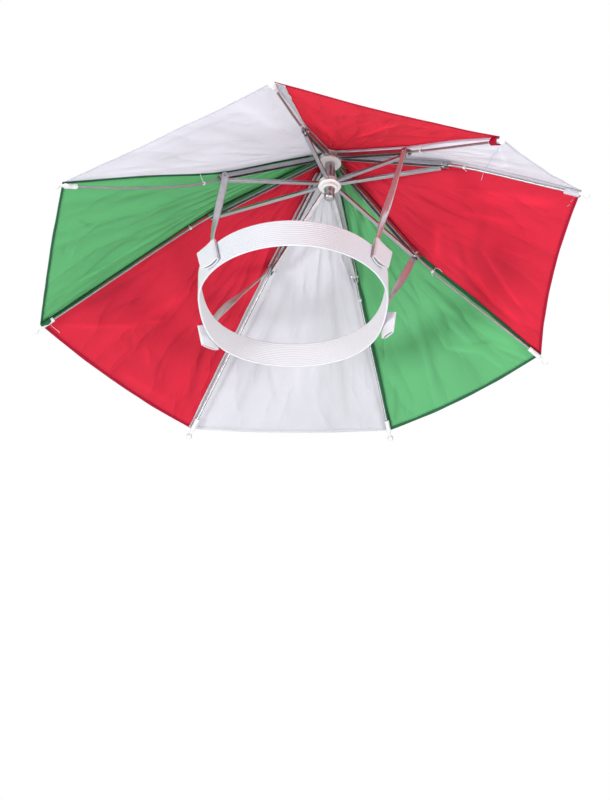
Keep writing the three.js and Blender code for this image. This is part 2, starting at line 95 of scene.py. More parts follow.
# The rib that a tab's leg comes from, and the tab's place round the headband, how far up it in
# shares of the headband's height, and its hand
TabRow = namedtuple("TabRow", "name rib around raised hand")
TABS = [
    TabRow("front_right", 1, -31, 0.25, -1),
    TabRow("back_right", 3, 24, -0.45, 1),
    TabRow("back_left", 5, 140, -0.3, -1),
    TabRow("front_left", 7, 216, 0, 1),
]

PANEL_COLOURS = "red white red green white red green white".split()


# ---- camera, light and floor ----

ROOM_LIGHT = 0.44  # the white room's own light, against 1 for the white that the camera sees
FLOOR_HEIGHT = -1.62


def put(name, data):
    """Puts a mesh, a light or a camera into the scene."""
    thing = bpy.data.objects.new(name, data)
    bpy.context.scene.collection.objects.link(thing)
    return thing


def set_camera():
    """The photograph's view: level, from the front, a little below the headband."""
    data = bpy.data.cameras.new("camera")
    data.sensor_fit = "VERTICAL"
    data.sensor_height = 36
    data.lens = 94.3
    camera = put("camera", data)
    camera.location = (9 * MM, -1.6, -83.6 * MM)
    camera.rotation_euler = (radians(90), 0, 0)
    bpy.context.scene.camera = camera


def soft_light(name, place, target, size, power):
    """A square soft box that faces a target."""
    data = bpy.data.lights.new(name, "AREA")
    data.size = size
    data.energy = power
    lamp = put(name, data)
    lamp.location = place
    lamp.rotation_euler = (Vector(target) - Vector(place)).to_track_quat("-Z", "Y").to_euler()


def set_studio():
    bpy.context.scene.view_settings.view_transform = "Standard"
    world = bpy.data.worlds.new("studio")
    world.use_nodes = True
    nodes, links = world.node_tree.nodes, world.node_tree.links
    background = nodes["Background"]
    background.inputs["Color"].default_value = (1, 1, 1, 1)
    seen = nodes.new("ShaderNodeLightPath").outputs["Is Camera Ray"]
    strength = nodes.new("ShaderNodeMapRange")
    links.new(seen, strength.inputs["Value"])
    strength.inputs["To Min"].default_value = ROOM_LIGHT
    links.new(strength.outputs["Result"], background.inputs["Strength"])
    bpy.context.scene.world = world
    soft_light("key_light", (-1.5, -1.2, -0.1), (0, 0, 0.05), 0.5, 23)
    soft_light("fill_light", (1.3, -1.3, 0.1), (0, 0, 0.05), 0.8, 13)
    soft_light("low_light", (0.3, -1.0, -1.2), (0, 0, 0.05), 0.6, 8)
    soft_light("top_light", (-0.1, -0.7, 1.9), (0, 0, 0.1), 1.0, 50)


def add_floor():
    shape = bmesh.new()
    bmesh.ops.create_circle(shape, cap_ends=True, segments=96, radius=5.5)
    bmesh.ops.translate(shape, verts=shape.verts, vec=(0, 0, FLOOR_HEIGHT))
    shading = Shading("pale_floor")
    plain = shading.plain({"Base Color": (0.86, 0.86, 0.86, 1), "Roughness": 0.9})
    floor = new_object("floor", shape, plain)


# ---- materials ----

class Value:
    """A number that varies over a surface. Python's operators on it add Math nodes."""

    def __init__(self, shading, socket):
        self.shading = shading
        self.socket = socket

    def math(self, operation, other):
        return self.shading.node("ShaderNodeMath", {"operation": operation}, {0: self, 1: other})

    def __add__(self, other):
        return self.math("ADD", other)

    def __mul__(self, other):
        return self.math("MULTIPLY", other)

    __radd__ = __add__
    __rmul__ = __mul__


class Shading:
    """The nodes of one material."""

    def __init__(self, name):
        self.material = bpy.data.materials.new(name)
        self.material.use_nodes = True
        self.tree = self.material.node_tree
        self.tree.nodes.clear()

    def node(self, kind, settings, inputs, output=0):
        """Adds a node with its settings, then its inputs, and gives one of its outputs."""
        node = self.tree.nodes.new(kind)
        for name, setting in settings.items():
            setattr(node, name, setting)
        for name, value in inputs.items():
            if isinstance(value, Value):
                self.tree.links.new(value.socket, node.inputs[name])
            else:
                node.inputs[name].default_value = value
        return Value(self, node.outputs[output])

    def noise(self, where, scale, detail, roughness=0.5):
        return self.node("ShaderNodeTexNoise", {}, {
            "Vector": where, "Scale": scale, "Detail": detail, "Roughness": roughness,
        })

    def place(self):
        """Object coordinates."""
        return self.node("ShaderNodeTexCoord", {}, {}, output=3)

    def cut(self):
        """Metres across and along the piece's own cloth, from its map."""
        cut = self.node("ShaderNodeUVMap", {"uv_map": "cut"}, {})
        split = self.node("ShaderNodeSeparateXYZ", {}, {0: cut})
        outputs = split.socket.node.outputs
        return Value(self, outputs[0]), Value(self, outputs[1])

    def waves(self, distance, pitch):
        """A sine along a distance, from -1 to 1."""
        turns = distance * (2 * pi / pitch)
        return self.node("ShaderNodeMath", {"operation": "SINE"}, {0: turns})

    def tint(self, factor, colour, dark, light):
        """A colour from darker to lighter by a factor from 0 to 1."""
        return self.node("ShaderNodeMix", {"data_type": "RGBA"}, {
            0: factor, 6: shade(colour, dark), 7: shade(colour, light),
        }, output=2)

    def bump(self, height, distance, strength=1.0, normal=None):
        inputs = {"Height": height, "Distance": distance, "Strength": strength}
        if normal is not None:
            inputs["Normal"] = normal
        return self.node("ShaderNodeBump", {}, inputs)

    def principled(self, inputs):
        return self.node("ShaderNodeBsdfPrincipled", {}, inputs)

    def plain(self, inputs):
        """The material with one principled shader alone."""
        return self.surface(self.principled(inputs))

    def surface(self, shader):
        output = self.tree.nodes.new("ShaderNodeOutputMaterial")
        self.tree.links.new(shader.socket, output.inputs["Surface"])
        return self.material


def shade(colour, factor):
    return (colour[0] * factor, colour[1] * factor, colour[2] * factor, 1)


WEAVE_PITCH = 0.5 * MM
WEAVE_DEPTH = 0.03 * MM
CRUMPLE_DEPTH = 2.2 * MM
WHITE_CRUMPLE_DEPTH = 1.3 * MM
DOUBLED_CRUMPLE_DEPTH = 0.4 * MM


def nylon(name, colour, see_through, crumple_depth):
    """Thin woven cloth that lets some light through, with a fine plain weave and soft crumples."""
    shading = Shading(name)
    place = shading.place()
    across, along = shading.cut()
    weave = shading.waves(across, WEAVE_PITCH) * shading.waves(along, WEAVE_PITCH)
    clouds = shading.noise(place, 14, 3)
    streaks = shading.noise(place, 120, 2)
    # Painted shade and highlight along the creases, read from the cloth's crease layer
    painted_crease_shade = shading.node("ShaderNodeAttribute", {"attribute_name": "crease"}, {}, output=2)
    # Random clouds and streaks of tone, with painted shade in the weave's hollows and the creases'
    # grooves and painted highlight on their ridges
    depth = clouds * 0.75 + streaks * 0.15 + weave * 0.04 + painted_crease_shade * 0.42 + 0.05
    colours = shading.tint(depth, colour, 0.84, 1.1)
    drawn = shading.node("ShaderNodeCombineXYZ", {}, {
        0: across, 1: along * 0.45, 2: clouds * 0.012,
    })
    crumples = shading.node("ShaderNodeTexNoise", {"noise_type": "RIDGED_MULTIFRACTAL"}, {
        "Vector": drawn, "Scale": 34.0, "Detail": 4.0, "Roughness": 0.45,
        "Offset": 0.9, "Gain": 1.2,
    })
    soft = shading.bump(crumples, crumple_depth)
    front = shading.principled({
        "Base Color": colours,
        "Roughness": 0.62 + clouds * 0.2,
        "Specular IOR Level": 0.25,
        "Normal": shading.bump(weave, WEAVE_DEPTH, 0.35, soft),
    })
    back = shading.node("ShaderNodeBsdfTranslucent", {}, {"Color": colours, "Normal": soft})
    mixed = shading.node("ShaderNodeMixShader", {}, {0: see_through, 1: front, 2: back})
    return shading.surface(mixed)


def doubled(name, colour):
    """Nylon in two layers or more, which hides more light and lies smoother."""
    return nylon(name, colour, 0.2, DOUBLED_CRUMPLE_DEPTH)


def steel(name, colour, roughness, spots=0.12, bare=1.0, scratched=0.4):
    """Bright steel with drawn scratches, dull spots and darker soiling."""
    shading = Shading(name)
    place = shading.place()
    stretched = shading.node("ShaderNodeMapping", {}, {0: place, 3: (260, 260, 40)})
    scratches = shading.noise(stretched, 3.0, 4, 0.6)
    dull = shading.noise(place, 160, 3)
    return shading.plain({
        "Base Color": shading.tint(dull, colour, 0.75, 1.05),
        "Metallic": bare,
        "Roughness": scratches * 0.18 + dull * spots + (roughness - 0.12),
        "Normal": shading.bump(scratches, 0.02 * MM, scratched),
    })


def moulded(name, colour, roughness):
    """Moulded plastic with a faint grain and slight rubbing."""
    shading = Shading(name)
    place = shading.place()
    grain = shading.noise(place, 900, 2)
    rubbing = shading.noise(place, 90, 3)
    return shading.plain({
        "Base Color": shading.tint(rubbing, colour, 0.93, 1.02),
        "Roughness": rubbing * 0.2 + (roughness - 0.1),
        "Coat Weight": 0.15,
        "Coat Roughness": 0.25,
        "Normal": shading.bump(grain, 0.03 * MM, 0.3),
    })


def ribbed_elastic(name, colour, rib_pitch, cross_pitch):
    """Knitted elastic: soft ribs along it and finer crossing yarns."""
    shading = Shading(name)
    across, along = shading.cut()
    ribbing = shading.waves(across, rib_pitch)
    yarns = shading.waves(along, cross_pitch)
    fuzz = shading.noise(shading.place(), 700, 3)
    height = ribbing * 0.5 + yarns * 0.2 + fuzz * 0.5
    # Darker in the grooves between the ribs and between the crossing yarns, lighter on their tops:
    # painted shade; the fuzz is random tone
    fuzz_and_groove_shade = ribbing * 0.22 + yarns * 0.08 + fuzz * 0.4 + 0.3
    return shading.plain({
        "Base Color": shading.tint(fuzz_and_groove_shade, colour, 0.88, 1.04),
        "Roughness": 0.85,
        "Sheen Weight": 0.25,
        "Normal": shading.bump(height, 0.18 * MM, 0.45),
    })


def yarn(name, colour):
    """Twisted sewing thread, with painted shade in the twist's grooves."""
    shading = Shading(name)
    twist = shading.node("ShaderNodeTexWave", {"bands_direction": "DIAGONAL"}, {
        "Vector": shading.place(), "Scale": 900.0, "Distortion": 1.5,
    }, output=1)
    return shading.plain({
        # The colour follows the twist's bump: darker in its grooves, painted shade
        "Base Color": shading.tint(twist, colour, 0.8, 1.0),
        "Roughness": 0.7,
        "Normal": shading.bump(twist, 0.04 * MM, 0.5),
    })


cloth_materials = {
    "red": nylon("red_nylon", (0.8, 0.028, 0.07), 0.36, CRUMPLE_DEPTH),
    "green": nylon("green_nylon", (0.17, 0.58, 0.25), 0.36, CRUMPLE_DEPTH),
    "white": nylon("white_nylon", (0.84, 0.84, 0.89), 0.42, WHITE_CRUMPLE_DEPTH),
}
# Darker copies of the single cloth's colours for hems, seam strips and folded corners: painted
# shade of the folded layers. The pink is the white cloth with red under it showing through.
doubled_shaded_materials = {
    "red": doubled("doubled_red_nylon", (0.44, 0.003, 0.035)),
    "green": doubled("doubled_green_nylon", (0.025, 0.14, 0.065)),
    "white": doubled("doubled_white_nylon", (0.72, 0.72, 0.78)),
    "pink": doubled("white_over_red_nylon", (0.74, 0.5, 0.66)),
}
rib_material = steel("rib_steel", (0.5, 0.5, 0.52), 0.3)
wire_material = steel(
    "wire_steel", (0.44, 0.44, 0.45), 0.34, spots=0.05, bare=0.85, scratched=0.08,
)
leg_material = steel("leg_steel", (0.66, 0.65, 0.67), 0.3, bare=0.75)
tip_material = moulded("tip_plastic", (0.76, 0.76, 0.78), 0.35)
hub_material = moulded("hub_plastic", (0.84, 0.84, 0.83), 0.4)
elastic_material = ribbed_elastic("white_elastic", (0.77, 0.785, 0.84), 1.6 * MM, 0.7 * MM)
tape_material = ribbed_elastic("white_tape", (0.78, 0.78, 0.83), 0.8 * MM, 0.8 * MM)
thread_materials = {name: yarn(f"{name}_thread", colour) for name, colour in {
    "white": (0.86, 0.86, 0.87),
    "red": (0.55, 0.01, 0.035),
    "green": (0.07, 0.29, 0.13),
    "pale_blue": (0.5, 0.64, 0.84),
    "grey": (0.5, 0.42, 0.46),
}.items()}


# ---- pieces ----

def new_object(name, shape, material):
    """Makes an object of a finished bmesh."""
    mesh = bpy.data.meshes.new(name)
    shape.to_mesh(mesh)
    shape.free()
    mesh.materials.append(material)
    return put(name, mesh)


def add_piece(name, shape, material, replaced=(), smooth=True):
    """Makes a piece that rides on the hat's one body."""
    piece = new_object(name, shape, material)
    if smooth:
        piece.data.shade_smooth()
    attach(piece, "root")
    if replaced:
        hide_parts(*replaced)
    return piece


def thicken(piece, thickness):
    solid = piece.modifiers.new("cloth", "SOLIDIFY")
    solid.thickness = thickness
    solid.offset = 0.0
    return piece


def mark_sharp(piece, angle):
    piece.data.set_sharp_from_angle(angle=radians(angle))


def draped_grid(place, along_steps, across_steps, size, closed=False, painted_shade=None):
    """A grid laid over a surface: place gives the point at each pair of shares, size its cut, and
    the last argument the painted shade and highlight along the cloth's creases there."""
    shape = bmesh.new()
    bmesh.ops.create_grid(shape, x_segments=across_steps, y_segments=along_steps, size=0.5)
    cut = shape.loops.layers.uv.new("cut")
    for face in shape.faces:
        for loop in face.loops:
            flat = loop.vert.co
            loop[cut].uv = ((flat.x + 0.5) * size[0], (flat.y + 0.5) * size[1])
    if painted_shade:
        # A layer of painted shade and highlight along the creases, which the cloth's colour reads
        painted_shade_layer = shape.verts.layers.float.new("crease")
        for vertex in shape.verts:
            vertex[painted_shade_layer] = painted_shade(vertex.co.y + 0.5, vertex.co.x + 0.5)
    for vertex in shape.verts:
        vertex.co = place(vertex.co.y + 0.5, vertex.co.x + 0.5)
    if closed:
        bmesh.ops.remove_doubles(shape, verts=shape.verts, dist=0.001 * MM)
        bmesh.ops.holes_fill(shape, edges=[e for e in shape.edges if e.is_boundary], sides=0)
        bmesh.ops.recalc_face_normals(shape, faces=shape.faces)
    return shape


def turned(profile, origin, direction, sides):
    """A closed round solid from pairs of radius and height, from an origin along a direction."""
    shape = bmesh.new()
    line = [shape.verts.new((radius, 0, height)) for radius, height in profile]
    edges = [shape.edges.new(pair) for pair in zip(line, line[1:])]
    bmesh.ops.spin(
        shape, geom=line + edges, axis=(0, 0, 1), angle=2 * pi, steps=sides, use_merge=True,
    )
    bmesh.ops.remove_doubles(shape, verts=shape.verts, dist=0.0001 * MM)
    bmesh.ops.recalc_face_normals(shape, faces=shape.faces)
    turn = UP.rotation_difference(direction).to_matrix().to_4x4()
    bmesh.ops.transform(shape, matrix=Matrix.Translation(origin) @ turn, verts=shape.verts)
    return shape


def tube(points, radius, sides, normal=UP):
    """A round closed tube along points."""
    last = len(points) - 1
    stations = []
    for index, point in enumerate(points):
        along = (points[min(index + 1, last)] - points[max(index - 1, 0)]).normalized()
        side = along.cross(normal).normalized()
        stations.append((point, side, side.cross(along)))

    def place(share, around):
        point, side, lift = stations[round(share * last)]
        angle = 2 * pi * around
        return point + (side * cos(angle) + lift * sin(angle)) * radius

    length = sum((b - a).length for a, b in zip(points, points[1:]))
    return draped_grid(place, last, sides, (2 * pi * radius, length), closed=True)


def ring(centre, axis, radius, thickness, sides=24, section=10):
    """A closed ring of round wire about an axis."""
    side = axis.orthogonal().normalized()
    other = axis.cross(side)

    def place(around, across):
        angle = 2 * pi * around
        out = side * cos(angle) + other * sin(angle)
        turn = 2 * pi * across
        reach = radius + thickness * cos(turn)
        return centre + out * reach + axis * thickness * sin(turn)

    return draped_grid(place, sides, section, (thickness, radius), closed=True)


def join_shapes(shapes):
    """One bmesh of several, keeping their maps."""
    whole = bmesh.new()
    for shape in shapes:
        mesh = bpy.data.meshes.new("part")
        shape.to_mesh(mesh)
        shape.free()
        whole.from_mesh(mesh)
        bpy.data.meshes.remove(mesh)
    return whole


def stitch_line(spans, radius):
    """Stitches: short rounded rods between pairs of points that lie on cloth."""
    shapes = bmesh.new()
    for start, end in spans:
        along = end - start
        turn = UP.rotation_difference(along.normalized()).to_matrix().to_4x4()
        bmesh.ops.create_cone(
            shapes, cap_ends=True, segments=6, radius1=radius, radius2=radius * 0.8,
            depth=along.length, matrix=Matrix.Translation((start + end) / 2) @ turn,
        )
    return shapes


def spline(points, share):
    """A point on the smooth curve through evenly spaced points."""
    last = len(points) - 1
    step = min(int(share * last), last - 1)
    t = share * last - step
    b, c = points[step], points[step + 1]
    a = points[step - 1] if step > 0 else 2 * b - c
    d = points[step + 2] if step + 2 <= last else 2 * c - b
    return 0.5 * (
        2 * b + (c - a) * t
        + (2 * a - 5 * b + 4 * c - d) * t ** 2
        + (3 * b - 3 * c + d - a) * t ** 3
    )


def smooth_curve(points, steps):
    return [spline(points, step / steps) for step in range(steps + 1)]


def eased(share):
    """A share from 0 to 1 that starts and stops gently."""
    share = min(max(share, 0), 1)
    return share * share * (3 - 2 * share)


# ---- the steel frame's places ----

canopy = (
    Matrix.Translation(HUB_PLACE)
    @ Matrix.Rotation(radians(CANOPY_SIDE_LEAN), 4, "Y")
    @ Matrix.Rotation(radians(-CANOPY_LEAN), 4, "X")
)
canopy_up = (canopy.to_3x3() @ UP).normalized()
to_canopy = canopy.inverted()


def heading(turn, slope):
    """The direction at a turn about the canopy's axis and a slope below its level."""
    turn, slope = radians(turn), radians(slope)
    level = cos(slope)
    return canopy.to_3x3() @ Vector(
        (level * cos(turn), level * sin(turn), -sin(slope))
    )


SAG_OF_HANDLES = 0.75  # a curve's middle moves this share of what both its handles move
WIRE_END_HANDLE = 0.4  # as a share of the outer rib's length
WIRE_STATIONS = 49


class Rib:
    """The places and directions of one rib."""

    def __init__(self, index, row):
        turn = FIRST_RIB_TURN + index * 360 / len(RIBS) + row.turn
        self.side = heading(turn + 90, 0)
        inner = heading(turn, INNER_DROOP + row.inner)
        self.inner_normal = inner.cross(self.side)
        outer = heading(turn + row.swing, OUTER_DROOP + row.outer)
        self.outer_side = heading(turn + row.swing + 90, 0)
        self.joint = HUB_PLACE + inner * INNER_RIB_LENGTH
        self.tip = self.joint + outer * OUTER_RIB_LENGTH * row.reach
        drop = (RIB_DEPTH - RIB_STEEL - WIRE_DIAMETER) / 2 - RIB_STEEL / 2 - CLEARANCE
        past_pin = PIN_DIAMETER / 2 + CLEARANCE
        start = self.joint + inner * past_pin + self.inner_normal * min(drop, 0)
        sagging = outer.cross(self.outer_side) * (-row.sag * OUTER_RIB_LENGTH / SAG_OF_HANDLES)
        leaving = start + inner * WIRE_START + sagging
        arriving = self.tip.lerp(self.joint, WIRE_END_HANDLE) + sagging
        self.wire = interpolate_bezier(start, leaving, arriving, self.tip, WIRE_STATIONS)
        self.tip_direction = (self.tip - arriving).normalized()


ribs = [Rib(index, row) for index, row in enumerate(RIBS)]


# ---- canopy cloth ----

PANEL_WALL = 1 * MM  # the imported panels' own wall, in whose middle the cloth lies
PANEL_EDGE_GAP = 0.35 * MM
PANEL_ALONG = 132
PANEL_ACROSS = 96
ROWS = range(PANEL_ALONG + 1)
COLUMNS = range(PANEL_ACROSS + 1)


def cloth_rows(node):
    """The rows of points in the middle of a packed panel's wall, from its crown to its rim."""
    shape = bmesh.new()
    shape.from_mesh(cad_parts[node].data)
    bmesh.ops.remove_doubles(shape, verts=shape.verts, dist=0.02 * MM)
    shape.normal_update()
    not_inner = [face for face in shape.faces if face.normal.dot(canopy_up) > -0.7]
    bmesh.ops.delete(shape, geom=not_inner, context="FACES")
    near_crown = CROWN_RADIUS * 1.25
    crown = {v for v in shape.verts if (to_canopy @ v.co).to_2d().length < near_crown}
    rows = [crown]
    seen = set(crown)
    while rows[-1]:
        following = {e.other_vert(v) for v in rows[-1] for e in v.link_edges} - seen
        seen |= following
        rows.append(following)
    rows.pop()
    middle = sum((v.co for v in rows[-1]), Vector()) / len(rows[-1])
    start = (to_canopy @ middle).to_2d()

    def turn(vertex):
        return -start.angle_signed((to_canopy @ vertex.co).to_2d())

    ordered = [
        [v.co + v.normal * (-PANEL_WALL / 2) for v in sorted(row, key=turn)] for row in rows
    ]
    shape.free()
    return ordered


# Each panel's folds and creases: the shares along and across the panel that one passes, in
# thousandths, and in millimetres how wide it is and how far out of the canopy it stands
# The heights also set the painted shade along creases that stand out and the painted highlight
# along those that sink in
CREASES = [[  # panel 1, red
    ([(167, 229), (402, 635), (621, 854), (811, 970)], 5, 1.2),
    ([(275, 455), (385, 470), (500, 540), (675, 570), (770, 605), (890, 605)], 2.5, -1.5),
    ([(720, 565), (828, 560), (907, 565)], 1.5, 1.1),
    ([(583, 620), (637, 710), (725, 730), (838, 745)], 1.8, 1.4),
    ([(560, 600), (620, 690), (710, 710), (830, 725)], 1.5, -0.9),
    ([(318, 495), (450, 630), (590, 725)], 2.5, 1.3),
    ([(652, 755), (688, 860), (765, 930)], 1.8, -1.2),
    ([(603, 400), (647, 445), (735, 475)], 1.8, 1.1),
    ([(877, 620), (887, 695), (935, 770)], 1.8, -1.2),
    ([(674, 115), (227, 312)], 6, -1.0),
    ([(962, 250), (955, 667)], 5, 0.8),
], [  # panel 2, white
    ([(930, 120), (800, 600), (640, 970)], 4, -1.0),
    ([(530, 740), (932, 396)], 6, 1.0),
], [  # panel 3, red
    ([(591, 240), (939, 100)], 7, -1.8),
    ([(523, 260), (962, 150)], 2.5, 0.6),
    ([(568, 406), (705, 344), (833, 302)], 3, -1.3),
    ([(735, 531), (871, 490)], 2.5, -1.1),
    ([(909, 552), (955, 562)], 2, -0.6),
    ([(674, 604), (826, 760), (939, 833)], 3.5, -1.3),
    ([(553, 854), (712, 927), (864, 970)], 4, 1.5),
    ([(553, 800), (750, 880), (930, 930)], 5, -1.2),
    ([(485, 635), (515, 917)], 6, -1.4),
    ([(576, 656), (652, 906)], 5, 1.0),
    ([(652, 281), (667, 844)], 8, 0.9),
    ([(644, 760), (811, 970)], 4, -0.9),
], [  # panel 4, green
    ([(667, 417), (803, 427), (879, 250)], 3, -1.3),
    ([(523, 219), (674, 198), (795, 188)], 4, 1.8),
    ([(705, 302), (833, 271)], 4, -1.1),
    ([(835, 280), (864, 146)], 2.2, 0.9),
    ([(886, 146), (992, 62)], 2.5, -0.9),
    ([(879, 250), (977, 208)], 3, -0.9),
    ([(894, 167), (1000, 83)], 2.2, 0.8),
    ([(583, 448), (742, 542), (970, 635)], 5, 1.0),
    ([(848, 885), (992, 958)], 3, 1.2),
    ([(841, 365), (970, 365)], 5, 0.9),
    ([(621, 292), (932, 60)], 6, -1.6),
], [  # panel 5, white
    ([(400, 300), (980, 200)], 6, 1.2),
    ([(400, 700), (980, 800)], 6, 1.2),
    ([(500, 500), (900, 500)], 8, -1.0),
    ([(620, 350), (800, 420)], 3, -1.0),
    ([(700, 750), (900, 600)], 3, 0.9),
], [  # panel 6, red
    ([(962, 938), (886, 792), (795, 604)], 3, -1.1),
    ([(833, 812), (765, 781), (735, 729)], 3, 0.9),
    ([(788, 615), (742, 521)], 2.5, -0.9),
    ([(848, 615), (886, 562)], 2.5, 0.8),
    ([(848, 510), (894, 406)], 2.5, -0.8),
    ([(917, 344), (841, 375)], 3, 1.0),
    ([(962, 531), (955, 188)], 5, -0.8),
    ([(886, 938), (652, 875)], 5, 1.3),
    ([(700, 200), (970, 60)], 6, 1.2),
    ([(550, 450), (900, 700)], 7, -0.9),
], [  # panel 7, green
    ([(674, 583), (833, 604), (894, 552)], 3, 1.4),
    ([(640, 380), (765, 281), (848, 198), (977, 177)], 3.5, 1.5),
    ([(580, 200), (795, 167), (939, 198)], 3, -1.5),
    ([(909, 719), (856, 625)], 2.5, 0.9),
    ([(947, 573), (947, 490)], 2, 0.7),
    ([(909, 531), (924, 417)], 2.2, -0.7),
    ([(811, 417), (864, 344)], 2.5, 0.8),
    ([(560, 100), (900, 100)], 3, 1.2),
    ([(600, 750), (980, 850)], 7, 1.0),
], [  # panel 8, white
    ([(902, 62), (591, 156)], 5, -0.8),
    ([(818, 177), (689, 385)], 5, 0.8),
    ([(950, 302), (841, 833)], 8, 0.8),
    ([(970, 823), (500, 812)], 7, -0.9),
    ([(450, 600), (950, 620)], 8, 0.9),
]]
CREASE_RELIEF = 1.4  # how far the heights above are stretched
WHITE_RELIEF = 0.6  # and what is left of them on the white cloth
CREASE_REACH = 4  # how many widths away a crease still lifts the cloth
CREASE_ROUNDING = 0.15
CREASE_END = 0.25  # a crease's height at its ends, against its middle
GATHER_HEIGHT = 0.8 * MM
GATHER_FOLDS = 11
GATHER_REACH = 18 * MM
SLOW_UNEVENNESS = 0.9 * MM
FINE_UNEVENNESS = 0.3 * MM


def near_line(point, line):
    """How far a point is from a line of points, and the share of the line at its nearest place."""
    spans = list(zip(line, line[1:]))
    whole = sum((b - a).length for a, b in spans)
    passed = 0
    best = (inf, 0)
    for a, b in spans:
        run = b - a
        share = min(max((point - a).dot(run) / run.length_squared, 0), 1)
        off = (point - a - run * share).length
        best = min(best, (off, (passed + run.length * share) / whole))
        passed += run.length
    return best


class Panel:
    """One panel's cloth: a fine grid with its creases, and the surface that other pieces lie on."""

    def __init__(self, index, colour):
        self.index = index
        self.colour = colour
        self.node = f"panel_{index + 1}_{colour}"
        rows = cloth_rows(self.node)
        for row in rows:
            spread = (row[-1] - row[0]).normalized() * PANEL_EDGE_GAP
            row[0] = row[0] - spread
            row[-1] = row[-1] + spread
        fine = [smooth_curve(row, PANEL_ACROSS) for row in rows]
        columns = [smooth_curve(column, PANEL_ALONG) for column in zip(*fine)]
        self.points = [list(row) for row in zip(*columns)]
        self.normals = self.slopes()
        middle = PANEL_ACROSS // 2
        self.length = sum(
            (b[middle] - a[middle]).length for a, b in zip(self.points, self.points[1:])
        )
        self.widths = [(row[-1] - row[0]).length for row in self.points]
        self.width = self.widths[-1]
        self.area = sum(self.widths) * self.length / len(self.widths)
        self.press_creases()
        self.normals = self.slopes()

    def slopes(self):
        """The directions out of the canopy at the grid's points."""
        return [[self.slope(r, c) for c in COLUMNS] for r in ROWS]

    def slope(self, r, c):
        along = self.points[min(r + 1, PANEL_ALONG)][c] - self.points[max(r - 1, 0)][c]
        across = self.points[r][min(c + 1, PANEL_ACROSS)] - self.points[r][max(c - 1, 0)]
        normal = along.cross(across).normalized()
        return normal if normal.dot(canopy_up) > 0 else -normal

    def width_at(self, along):
        return self.widths[round(min(max(along, 0), 1) * PANEL_ALONG)]

    def flat(self, along, across):
        """The place on the cut cloth, in metres, at a pair of shares."""
        return Vector(((across - 0.5) * self.width_at(along), along * self.length))

    def press_creases(self):
        """Moves the cloth out and in by its creases, its corner gathers and its unevenness."""
        relief = WHITE_RELIEF if self.colour == "white" else 1
        creases = [
            ([self.flat(a / 1000, b / 1000) for a, b in places], width * MM, height * relief)
            for places, width, height in CREASES[self.index]
        ]
        corners = (self.flat(1, 0), self.flat(1, 1))
        own_noise = Vector((self.index * 3.7, 0, 0))
        # Painted shade and highlight along the creases, one value for each point of the grid
        self.painted_crease_shades = [[0] * len(COLUMNS) for r in ROWS]
        for r in ROWS:
            for c in COLUMNS:
                along, across = r / PANEL_ALONG, c / PANEL_ACROSS
                here = self.flat(along, across)
                lift = 0
                for line, width, height in creases:
                    off, share = near_line(here, line)
                    if off < CREASE_REACH * width:
                        from_end = min(share, 1 - share)
                        height *= min(1, CREASE_END + 3 * from_end)
                        fall = exp(-hypot(off / width, CREASE_ROUNDING))
                        lift += height * CREASE_RELIEF * MM * fall
                        # Painted shade along creases that stand out of the canopy, painted
                        # highlight along those that sink into it, as seen from the inner side
                        self.painted_crease_shades[r][c] -= height * exp(-((1.6 * off / width) ** 2))
                for corner in corners:
                    out = here - corner
                    folds = cos(GATHER_FOLDS * atan2(out.y, out.x))
                    lift += GATHER_HEIGHT * folds * exp(-out.length / GATHER_REACH)
                spot = Vector((here.x * 22, here.y * 14, 0)) + own_noise
                lift += SLOW_UNEVENNESS * noise.noise(spot)
                lift += FINE_UNEVENNESS * noise.noise(spot * 3.1)
                held = max(min(1, 5 * across, 5 * (1 - across), 6 * along), 0)
                self.points[r][c] = self.points[r][c] + self.normals[r][c] * lift * held

    def on(self, along, across, lift):
        """The point a lift out of the cloth at a pair of shares."""
        r = min(max(along, 0), 1) * PANEL_ALONG
        c = min(max(across, 0), 1) * PANEL_ACROSS
        r0, c0 = min(int(r), PANEL_ALONG - 1), min(int(c), PANEL_ACROSS - 1)
        near = self.points[r0][c0].lerp(self.points[r0][c0 + 1], c - c0)
        far = self.points[r0 + 1][c0].lerp(self.points[r0 + 1][c0 + 1], c - c0)
        return near.lerp(far, r - r0) + self.normals[round(r)][round(c)] * lift

    def path(self, places, lift):
        """The points a lift out of the cloth at pairs of shares."""
        return [self.on(along, across, lift) for along, across in places]


panels = [Panel(index, colour) for index, colour in enumerate(PANEL_COLOURS)]

CLOTH = 0.25 * MM
FOLDED_CLOTH = 0.3 * MM


def beside(row):
    """The number of the panel after a row's rib where onto is 1, or before it where onto is -1."""
    return (row.rib if row.onto > 0 else row.rib - 1) % len(panels)


def at_grid(values):
    """Gives what a panel's grid holds at each pair of shares."""
    return lambda along, across: values[round(along * PANEL_ALONG)][round(across * PANEL_ACROSS)]


def add_panel(panel):
    shape = draped_grid(
        at_grid(panel.points), PANEL_ALONG, PANEL_ACROSS, (panel.width, panel.length),
        painted_shade=at_grid(panel.painted_crease_shades),
    )
    return thicken(add_piece(
        f"cloth_{panel.node}", shape, cloth_materials[panel.colour],
        (panel.node,),
    ), CLOTH)


HEM_HALF_WIDTH = 1.2 * MM
HEM_HALF_DEPTH = 0.45 * MM
HEM_STATIONS = 80


